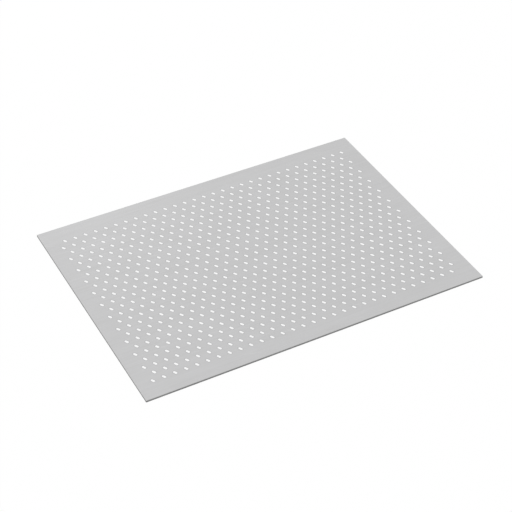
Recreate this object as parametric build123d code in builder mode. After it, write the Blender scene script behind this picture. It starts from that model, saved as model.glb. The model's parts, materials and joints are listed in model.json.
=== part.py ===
"""Perforated metal sheet: one flat piece of 3 mm stock, punched all over with small slots.

The sheet lies flat. The origin is at the centre of its underside, +X runs along the
long side, +Y from the front edge to the back and +Z up through the thickness.
"""
from build123d import *
import math
import os

# ---- driving dimensions, mm -------------------------------------------------------
sheet_length = 520.0    # long side, along X
sheet_width = 380.0     # short side, along Y
thickness = 3.0         # of the stock

pitch = 16.0            # from one slot to the next, along a row and along both slants
slot_width = 3.2        # across a slot's two straight sides
slot_length = 6.4       # over both of a slot's round ends
slot_angle = 120.0      # a slot's long axis, in degrees round from +X: one of the slants

left_border = 23.1      # from the left edge to the first slot's centre
right_border = 20.0     # the least that is left over at the right edge
front_border = 29.1     # from the front edge to the centres of the first row
back_border = 25.0      # the least that is left over at the back edge

# ---- the 60 degree staggered pattern ----------------------------------------------
row_step = pitch * math.sqrt(3) / 2
stagger = pitch / 2

slots_per_row = math.floor((sheet_length - left_border - right_border - stagger) / pitch) + 1
row_count = math.floor((sheet_width - front_border - back_border) / row_step) + 1

# Two grids make the pattern: the first row and every second one behind it, and the
# rows between those, which start half a pitch further right.
first_x = left_border - sheet_length / 2
first_y = front_border - sheet_width / 2
outer_rows = (row_count + 1) // 2
inner_rows = row_count // 2
from_first_slot = (Align.MIN, Align.MIN)


# ---- the sheet --------------------------------------------------------------------
with BuildPart() as sheet:
    with BuildSketch(Plane.XY) as blank:
        Rectangle(sheet_length, sheet_width)
    extrude(amount=thickness)

    with BuildSketch(Plane.XY) as slots:
        with Locations((first_x, first_y)):
            with GridLocations(pitch, 2 * row_step, slots_per_row, outer_rows, from_first_slot):
                SlotOverall(slot_length, slot_width, rotation=slot_angle)
        with Locations((first_x + stagger, first_y + row_step)):
            with GridLocations(pitch, 2 * row_step, slots_per_row, inner_rows, from_first_slot):
                SlotOverall(slot_length, slot_width, rotation=slot_angle)
    extrude(amount=thickness, mode=Mode.SUBTRACT)

sheet.part.label = "perforated_sheet"

os.makedirs("parts", exist_ok=True)
export_step(sheet.part, "parts/perforated_sheet.step")

last_x = first_x + (slots_per_row - 1) * pitch + stagger
last_y = first_y + (row_count - 1) * row_step
print(f"{slots_per_row} slots in each of {row_count} rows, {slots_per_row * row_count} in all")
print(f"from the edges to the nearest slot centres: left {left_border:.2f}, "
      f"right {sheet_length / 2 - last_x:.2f}, front {front_border:.2f}, "
      f"back {sheet_width / 2 - last_y:.2f} mm")
print(f"open area {slots.sketch.area / (sheet_length * sheet_width):.1%}, "
      f"volume {sheet.part.volume / 1000:.2f} cm3")
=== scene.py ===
"""Looks, light and camera for the perforated metal sheet.

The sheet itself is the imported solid, left as it is. This script gives it its finish and
sets it on a plain floor. Lengths are in metres, except where a name or comment says mm.
"""
import json
import math

import bpy
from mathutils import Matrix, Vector


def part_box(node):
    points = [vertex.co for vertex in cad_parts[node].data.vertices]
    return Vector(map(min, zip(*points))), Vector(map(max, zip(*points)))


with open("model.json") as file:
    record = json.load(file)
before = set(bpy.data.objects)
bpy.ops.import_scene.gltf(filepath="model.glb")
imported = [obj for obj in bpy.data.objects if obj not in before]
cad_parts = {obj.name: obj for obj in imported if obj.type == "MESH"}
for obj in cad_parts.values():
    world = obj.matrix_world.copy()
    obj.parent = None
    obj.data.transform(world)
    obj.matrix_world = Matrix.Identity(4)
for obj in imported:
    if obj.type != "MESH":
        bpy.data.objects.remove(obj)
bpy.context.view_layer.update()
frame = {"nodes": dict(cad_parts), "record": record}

MM = 0.001
SHEET = frame["nodes"]["perforated_sheet"]
low, high = (Vector(corner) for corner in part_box("perforated_sheet"))
LENGTH = high.x - low.x
THICKNESS = high.z - low.z
MIDDLE = (low + high) / 2

# The punched pattern. The record states its first and last slots and the slots' size.
mounts = {mount["name"]: mount for mount in frame["record"]["mounts"]}
FIRST_SLOT = Vector(mounts["slot_front_left"]["pos_m"])
LAST_SLOT = Vector(mounts["slot_back_right"]["pos_m"])
SLOT_RADIUS = mounts["slot_front_left"]["dims"]["hole_r_mm"] * MM
SLOT_LENGTH = mounts["slot_front_left"]["dims"]["slot_length_mm"] * MM
SLOT_ANGLE = math.radians(120)
PITCH = 16.0 * MM
ROW_STEP = PITCH * math.sqrt(3) / 2

# Aluminium, from its dull rolled skin to metal that a tool has just bared; the rim, wall and edge
# colours below are partly or wholly painted light.
OXIDE_DULL = "c6c6c6"
OXIDE_CLEAN = "cccccd"
SCRATCHED = "d8d8d8"
# A darker ring round each slot: painted shade where the face is drawn down.
RIM_PAINTED_SHADE = "b9b9ba"
# A bright lip round each slot: a painted highlight on its rolled-over edge.
LIP_PAINTED_HIGHLIGHT = "e8e8e8"
# Near-white slot walls: a painted glint, standing in for the bright floor seen through and
# reflected in the slots.
PUNCHED_TORN_PAINTED_GLINT = "f4f4f4"
PUNCHED_BURNISHED_PAINTED_GLINT = "ffffff"
# Dark outer edges: partly the duller sheared metal, partly painted shade.
SHEARED_TORN_AND_SHADE = "767676"
SHEARED_BURNISHED_AND_SHADE = "a2a2a2"

# Length and width, mm, of what rolling and handling leave on the faces. The lines that
# ground rolls print are about 0.1 mm wide and scratches are finer, too fine to show, so
# both are drawn about 1 mm wide.
GRAIN = (60.0, 1.2)
BANDS = (700.0, 26.0)
CLOUDS = (45.0, 38.0)
SCRATCHES = (34.0, 0.9)
SCRATCH_SLANT = math.radians(17)
GRAIN_HEIGHT = 0.012
SCRATCH_DEPTH = 0.008

# The rims beside the slots, mm: how far and how deep the punch draws the face down, and how far
# out, give or take UNEVEN, the painted shade beside the drawn-down face and the painted highlight
# on the lip reach.
DRAW_REACH = 0.6
DRAW_DEPTH = 0.05
SHADE_RING_REACH = (0.8, 2.3)
SHADE_RING_UNEVEN = 1.2
LIP_REACH = (0.18, 0.34)
LIP_UNEVEN = 0.4
RIM_PATCH = 2.5

# The cut walls, mm. A tool's drag lines and the torn grains are about 0.05 mm across, too
# fine to show, so they are drawn ten times that size or more.
DRAG_LINE = (0.5, 12.0)
TORN_GRAIN = 0.7
BURNISH_WAVE = 1.5
WALL_RELIEF = 0.02


def linear(hex_colour):
    """Turns an sRGB hex colour such as "c6c7c7" into linear RGBA."""
    srgb = [int(hex_colour[i:i + 2], 16) / 255 for i in (0, 2, 4)]
    return [c / 12.92 if c <= 0.04045 else ((c + 0.055) / 1.055) ** 2.4 for c in srgb] + [1.0]


def add_node(tree, kind, inputs=None, **settings):
    """Adds a node. Inputs go by name or number; a socket is linked and a value is set."""
    node = tree.nodes.new(kind)
    for name, value in settings.items():
        setattr(node, name, value)
    for key, value in (inputs or {}).items():
        if isinstance(value, bpy.types.NodeSocket):
            tree.links.new(value, node.inputs[key])
        else:
            node.inputs[key].default_value = value
    return node


def new_material(name):
    """An empty node material and its tree."""
    material = bpy.data.materials.new(name)
    material.use_nodes = True
    material.node_tree.nodes.clear()
    return material, material.node_tree


# ---- mill-finish aluminium ----------------------------------------------------------
def beyond_box(tree, place, centre, half_size):
    """1 where a point lies outside a box seen from above, and 0 inside it."""
    offset = add_node(tree, "ShaderNodeVectorMath", {0: place, 1: centre}, operation="SUBTRACT")
    reach = add_node(tree, "ShaderNodeVectorMath", {0: offset.outputs[0]}, operation="ABSOLUTE")
    past = add_node(tree, "ShaderNodeVectorMath", {0: reach.outputs[0], 1: half_size},
                    operation="SUBTRACT")
    sides = add_node(tree, "ShaderNodeSeparateXYZ", {0: past.outputs[0]})
    furthest = add_node(tree, "ShaderNodeMath", {0: sides.outputs["X"], 1: sides.outputs["Y"]},
                        operation="MAXIMUM")
    return add_node(tree, "ShaderNodeMath", {0: furthest.outputs[0], 1: 0.0},
                    operation="GREATER_THAN").outputs[0]


def distance_from_slot(tree, place):
    """Distance over the face, in metres, from the nearest slot's rim.

    Each of the pattern's two grids is folded into one cell with the slot in its middle.
    The cell is turned so that the slot lies along X, and the distance is then measured
    from the straight line between the centres of the slot's round ends.
    """
    half_line = SLOT_LENGTH / 2 - SLOT_RADIUS
    from_lines = []
    for start in (FIRST_SLOT, FIRST_SLOT + Vector((PITCH / 2, ROW_STEP, 0))):
        shifted = add_node(tree, "ShaderNodeVectorMath", {0: place, 1: start},
                           operation="SUBTRACT")
        flat = add_node(tree, "ShaderNodeVectorMath", {0: shifted.outputs[0], 1: (1, 1, 0)},
                        operation="MULTIPLY")
        cell = add_node(tree, "ShaderNodeVectorMath",
                        {0: flat.outputs[0], 1: (PITCH / 2, ROW_STEP, 1),
                         2: (-PITCH / 2, -ROW_STEP, -1)}, operation="WRAP")
        turned = add_node(tree, "ShaderNodeVectorRotate",
                          {"Vector": cell.outputs[0], "Angle": -SLOT_ANGLE},
                          rotation_type="Z_AXIS")
        quarter = add_node(tree, "ShaderNodeVectorMath", {0: turned.outputs[0]},
                           operation="ABSOLUTE")
        past_line = add_node(tree, "ShaderNodeVectorMath",
                             {0: quarter.outputs[0], 1: (half_line, 0, 0)},
                             operation="SUBTRACT")
        beside = add_node(tree, "ShaderNodeVectorMath",
                          {0: past_line.outputs[0], 1: (0, 0, 0)}, operation="MAXIMUM")
        span = add_node(tree, "ShaderNodeVectorMath", {0: beside.outputs[0]}, operation="LENGTH")
        from_lines.append(span.outputs["Value"])
    nearest = add_node(tree, "ShaderNodeMath", {0: from_lines[0], 1: from_lines[1]},
                       operation="MINIMUM")
    from_rim = add_node(tree, "ShaderNodeMath", {0: nearest.outputs[0], 1: SLOT_RADIUS},
                        operation="SUBTRACT")

    # The grids go on for ever, so beyond the punched rows the distance gets a metre more.
    half_pattern = (LAST_SLOT - FIRST_SLOT) / 2 + Vector((PITCH / 4, ROW_STEP / 2, 1))
    outside = beyond_box(tree, place, (FIRST_SLOT + LAST_SLOT) / 2, half_pattern)
    return add_node(tree, "ShaderNodeMath", {0: from_rim.outputs[0], 1: outside},
                    operation="ADD").outputs[0]


def rolled_face(tree, place):
    """Colour, roughness and height in mm of the face as it leaves the mill's rolls.

    Each mark is noise, stretched to its own length along X and width across. The rolls'
    grain, the bands along the strip and the clouds of oxide add up to one uneven tone,
    from dull to clean. Where the scratches' noise passes a threshold the metal is bared.
    """
    pattern = {}
    for name, (along, across), slant in (("grain", GRAIN, 0.0), ("bands", BANDS, 0.0),
                                         ("clouds", CLOUDS, 0.0),
                                         ("scratches", SCRATCHES, SCRATCH_SLANT)):
        turned = add_node(tree, "ShaderNodeVectorRotate", {"Vector": place, "Angle": slant},
                          rotation_type="Z_AXIS")
        scaled = add_node(tree, "ShaderNodeVectorMath",
                          {0: turned.outputs[0],
                           1: (1 / (along * MM), 1 / (across * MM), 1 / (across * MM))},
                          operation="MULTIPLY")
        noise = add_node(tree, "ShaderNodeTexNoise",
                         {"Vector": scaled.outputs[0], "Scale": 1.0, "Detail": 3.0,
                          "Roughness": 0.55})
        pattern[name] = noise.outputs["Fac"]

    # Noise lies about 0.5, so with the grain counted 2.2 times the sum lies about 2.1.
    grain_weight = 2.2
    dullest, cleanest = 1.0, 3.2
    cloudy = add_node(tree, "ShaderNodeMath", {0: pattern["clouds"], 1: pattern["bands"]},
                      operation="ADD")
    uneven = add_node(tree, "ShaderNodeMath",
                      {0: pattern["grain"], 1: grain_weight, 2: cloudy.outputs[0]},
                      operation="MULTIPLY_ADD")
    tone = add_node(tree, "ShaderNodeMapRange",
                    {"Value": uneven.outputs[0], "From Min": dullest, "From Max": cleanest})
    roughness = add_node(tree, "ShaderNodeMapRange",
                         {"Value": uneven.outputs[0], "From Min": dullest,
                          "From Max": cleanest, "To Min": 0.58, "To Max": 0.42})
    oxide = add_node(tree, "ShaderNodeMix",
                     {0: tone.outputs[0], 6: linear(OXIDE_DULL), 7: linear(OXIDE_CLEAN)},
                     data_type="RGBA")

    faintest, clearest = 0.68, 0.74
    scratch = add_node(tree, "ShaderNodeMapRange",
                       {"Value": pattern["scratches"], "From Min": faintest,
                        "From Max": clearest}, interpolation_type="SMOOTHSTEP")
    colour = add_node(tree, "ShaderNodeMix",
                      {0: scratch.outputs[0], 6: oxide.outputs[2], 7: linear(SCRATCHED)},
                      data_type="RGBA")
    lines = add_node(tree, "ShaderNodeMath", {0: pattern["grain"], 1: GRAIN_HEIGHT},
                     operation="MULTIPLY")
    height = add_node(tree, "ShaderNodeMath",
                      {0: scratch.outputs[0], 1: -SCRATCH_DEPTH, 2: lines.outputs[0]},
                      operation="MULTIPLY_ADD")
    return colour.outputs[2], roughness.outputs[0], height.outputs[0]


def punched_rims(tree, place, colour, height):
    """Colour and height in mm of the face, with the rims that the punch has left.

    The height falls along a smooth step over the last of the way to a slot. Beside it the colour
    is darkened as painted shade of the drawn-down slope, and the lip is brightened as a painted
    highlight. Noise moves the line where each ends.
    """
    from_slot = distance_from_slot(tree, place)
    draw = add_node(tree, "ShaderNodeMapRange",
                    {"Value": from_slot, "From Min": 0.0, "From Max": DRAW_REACH * MM,
                     "To Min": -DRAW_DEPTH, "To Max": 0.0}, interpolation_type="SMOOTHSTEP")
    lowered = add_node(tree, "ShaderNodeMath", {0: height, 1: draw.outputs[0]},
                       operation="ADD")

    patchy = add_node(tree, "ShaderNodeTexNoise",
                      {"Vector": place, "Scale": 1 / (RIM_PATCH * MM), "Detail": 2.0})
    # Painted shade darkens a ring beside each slot, then a painted highlight brightens its lip.
    for hue, (near, far), uneven in ((RIM_PAINTED_SHADE, SHADE_RING_REACH, SHADE_RING_UNEVEN),
                                     (LIP_PAINTED_HIGHLIGHT, LIP_REACH, LIP_UNEVEN)):
        moved = add_node(tree, "ShaderNodeMath",
                         {0: patchy.outputs["Fac"], 1: uneven * MM, 2: from_slot},
                         operation="MULTIPLY_ADD")
        share = add_node(tree, "ShaderNodeMapRange",
                         {"Value": moved.outputs[0], "From Min": near * MM,
                          "From Max": far * MM, "To Min": 1.0, "To Max": 0.0},
                         interpolation_type="SMOOTHSTEP")
        colour = add_node(tree, "ShaderNodeMix",
                          {0: share.outputs[0], 6: colour, 7: linear(hue)},
                          data_type="RGBA").outputs[2]
    return colour, lowered.outputs[0]


def cut_wall(tree, place, burnish_share, colours, roughnesses):
    """Colour, roughness and height in mm of a wall that a tool has cut downwards.

    The tool's flank burnishes the upper share of the wall and the rest tears away, and
    the line between them sways with noise. Drag lines are noise stretched along Z. The
    polish, from the first colour and roughness to the second, is higher where burnished
    and goes up and down with the relief.
    """
    up = add_node(tree, "ShaderNodeSeparateXYZ", {0: place}).outputs["Z"]
    wave = add_node(tree, "ShaderNodeTexNoise",
                    {"Vector": place, "Scale": 1 / (BURNISH_WAVE * MM), "Detail": 2.0})
    sway, blur = 0.3 * THICKNESS, 0.1 * THICKNESS
    line = low.z + THICKNESS * (1 - burnish_share) + sway / 2
    swayed = add_node(tree, "ShaderNodeMath", {0: wave.outputs["Fac"], 1: sway, 2: up},
                      operation="MULTIPLY_ADD")
    burnished = add_node(tree, "ShaderNodeMapRange",
                         {"Value": swayed.outputs[0], "From Min": line - blur / 2,
                          "From Max": line + blur / 2}, interpolation_type="SMOOTHSTEP")

    across, along = DRAG_LINE
    scaled = add_node(tree, "ShaderNodeVectorMath",
                      {0: place, 1: (1 / (across * MM), 1 / (across * MM), 1 / (along * MM))},
                      operation="MULTIPLY")
    drag = add_node(tree, "ShaderNodeTexNoise",
                    {"Vector": scaled.outputs[0], "Scale": 1.0, "Detail": 3.0})
    torn = add_node(tree, "ShaderNodeTexNoise",
                    {"Vector": place, "Scale": 1 / (TORN_GRAIN * MM), "Detail": 4.0})
    relief = add_node(tree, "ShaderNodeMix",
                      {0: burnished.outputs[0], 2: torn.outputs["Fac"], 3: drag.outputs["Fac"]})
    height = add_node(tree, "ShaderNodeMath", {0: relief.outputs[0], 1: WALL_RELIEF},
                      operation="MULTIPLY")

    torn_polish, burnished_polish, give_or_take = 0.3, 0.7, 0.35
    rubbed = add_node(tree, "ShaderNodeMapRange",
                      {"Value": relief.outputs[0], "From Min": 0.3, "From Max": 0.7,
                       "To Min": -give_or_take, "To Max": give_or_take})
    bare = add_node(tree, "ShaderNodeMapRange",
                    {"Value": burnished.outputs[0], "To Min": torn_polish,
                     "To Max": burnished_polish})
    polish = add_node(tree, "ShaderNodeMath", {0: bare.outputs[0], 1: rubbed.outputs[0]},
                      operation="ADD")
    colour = add_node(tree, "ShaderNodeMix",
                      {0: polish.outputs[0], 6: linear(colours[0]), 7: linear(colours[1])},
                      data_type="RGBA")
    roughness = add_node(tree, "ShaderNodeMapRange",
                         {"Value": polish.outputs[0], "To Min": roughnesses[0],
                          "To Max": roughnesses[1]})
    return colour.outputs[2], roughness.outputs[0], height.outputs[0]


def mill_aluminium():
    """Aluminium sheet with a mill finish, rolled, then punched and cut with shears.

    To the eye the rolled faces are a dull, nearly even grey with a fine grain along the sheet.
    The slots' walls are painted near white, a painted glint for the bright floor seen through
    them, and beside each slot there is a ring of painted shade with a painted highlight on its
    lip. The shears leave the sheet's edges smooth at the top and torn below, darkened partly as
    duller torn metal and partly as painted shade.
    """
    material, tree = new_material("mill_aluminium")
    seat = add_node(tree, "ShaderNodeTexCoord")
    place = seat.outputs["Object"]
    facing = add_node(tree, "ShaderNodeSeparateXYZ", {0: seat.outputs["Normal"]})
    level = add_node(tree, "ShaderNodeMath", {0: facing.outputs["Z"]}, operation="ABSOLUTE")
    is_wall = add_node(tree, "ShaderNodeMath", {0: level.outputs[0], 1: 0.5},
                       operation="LESS_THAN").outputs[0]
    skin = Vector((0.2 * MM, 0.2 * MM, 0))
    is_edge = beyond_box(tree, place, MIDDLE, (high - low) / 2 - skin)

    colour, roughness, height = rolled_face(tree, place)
    colour, height = punched_rims(tree, place, colour, height)
    # The slots' walls are painted near white: a painted glint for the bright floor seen through
    # them.
    slot = cut_wall(tree, place, 0.6, (PUNCHED_TORN_PAINTED_GLINT, PUNCHED_BURNISHED_PAINTED_GLINT), (0.09, 0.05))
    # The sheet's edges are darkened, partly as duller sheared metal and partly as painted shade.
    edge = cut_wall(tree, place, 0.35, (SHEARED_TORN_AND_SHADE, SHEARED_BURNISHED_AND_SHADE), (0.6, 0.4))

    # Each of the three comes from the face, a slot's wall or the sheet's outer edge.
    surface = []
    for kind, (first, second, result), on_face, on_slot, on_edge in (
            ("RGBA", (6, 7, 2), colour, slot[0], edge[0]),
            ("FLOAT", (2, 3, 0), roughness, slot[1], edge[1]),
            ("FLOAT", (2, 3, 0), height, slot[2], edge[2])):
        wall = add_node(tree, "ShaderNodeMix", {0: is_edge, first: on_slot, second: on_edge},
                        data_type=kind)
        whole = add_node(tree, "ShaderNodeMix",
                         {0: is_wall, first: on_face, second: wall.outputs[result]},
                         data_type=kind)
        surface.append(whole.outputs[result])

    bump = add_node(tree, "ShaderNodeBump", {"Height": surface[2], "Distance": MM})
    bsdf = add_node(tree, "ShaderNodeBsdfPrincipled",
                    {"Base Color": surface[0], "Metallic": 1.0, "Roughness": surface[1],
                     "Normal": bump.outputs[0]})
    add_node(tree, "ShaderNodeOutputMaterial", {"Surface": bsdf.outputs[0]})
    return material


SHEET.data.materials.clear()
SHEET.data.materials.append(mill_aluminium())


# ---- floor, light and camera --------------------------------------------------------
def studio_floor():
    """A plain painted floor that carries on past the view.

    To the camera, and in the metal and through it, nearly all of the floor is plain
    white. The rest is its paint, which keeps the sheet's shadow.
    """
    white_share = 0.97
    reach = 6 * LENGTH

    material, tree = new_material("studio_floor")
    paint = add_node(tree, "ShaderNodeBsdfDiffuse", {"Color": linear("fafafa")})
    glow = add_node(tree, "ShaderNodeEmission", {"Color": linear("ffffff"), "Strength": 1.0})
    ray = add_node(tree, "ShaderNodeLightPath")
    passed_on = add_node(tree, "ShaderNodeMath",
                         {0: ray.outputs["Is Glossy Ray"], 1: ray.outputs["Is Transmission Ray"]},
                         operation="ADD")
    seen = add_node(tree, "ShaderNodeMath",
                    {0: ray.outputs["Is Camera Ray"], 1: passed_on.outputs[0]},
                    operation="ADD", use_clamp=True)
    share = add_node(tree, "ShaderNodeMath", {0: seen.outputs[0], 1: white_share},
                     operation="MULTIPLY")
    mix = add_node(tree, "ShaderNodeMixShader",
                   {0: share.outputs[0], 1: paint.outputs[0], 2: glow.outputs[0]})
    add_node(tree, "ShaderNodeOutputMaterial", {"Surface": mix.outputs[0]})

    mesh = bpy.data.meshes.new("floor")
    corners = [(-reach, -reach, low.z), (reach, -reach, low.z), (reach, reach, low.z),
               (-reach, reach, low.z)]
    mesh.from_pydata(corners, [], [(0, 1, 2, 3)])
    mesh.materials.append(material)
    floor = bpy.data.objects.new("floor", mesh)
    bpy.context.collection.objects.link(floor)


def studio_world():
    """Even white light from all round, at which a colour renders about as written."""
    world = bpy.data.worlds.new("studio")
    world.use_nodes = True
    tree = world.node_tree
    tree.nodes.clear()
    glow = add_node(tree, "ShaderNodeBackground", {"Color": linear("ffffff"), "Strength": 1.0})
    add_node(tree, "ShaderNodeOutputWorld", {"Surface": glow.outputs[0]})
    bpy.context.scene.world = world


def low_softbox():
    """A small soft lamp, low behind the sheet, that lifts the tone of its far left corner."""
    data = bpy.data.lights.new("low_softbox", "AREA")
    data.shape = "RECTANGLE"
    data.size = 0.5 * LENGTH
    data.size_y = 0.3 * LENGTH
    data.energy = 0.33
    lamp = bpy.data.objects.new("low_softbox", data)
    lamp.location = MIDDLE + Vector((0.25, 2.14, 0.64)) * LENGTH
    far_left = Vector((low.x, high.y, high.z))
    lamp.rotation_euler = (far_left - lamp.location).to_track_quat("-Z", "Y").to_euler()
    bpy.context.collection.objects.link(lamp)


def camera():
    """A long lens, four sheet lengths off, that looks down at the front left corner."""
    azimuth = math.radians(-28.0)
    elevation = math.radians(40.0)
    half_view = math.radians(10.0)
    distance = 3.995 * LENGTH

    back = Vector((math.sin(azimuth) * math.cos(elevation),
                   -math.cos(azimuth) * math.cos(elevation), math.sin(elevation)))
    data = bpy.data.cameras.new("camera")
    data.sensor_width = 36.0
    data.lens = data.sensor_width / 2 / math.tan(half_view)
    eye = bpy.data.objects.new("camera", data)
    eye.location = MIDDLE + back * distance
    eye.rotation_euler = (-back).to_track_quat("-Z", "Y").to_euler()
    bpy.context.collection.objects.link(eye)
    bpy.context.scene.camera = eye


studio_floor()
studio_world()
low_softbox()
camera()
bpy.context.scene.view_settings.view_transform = "Standard"
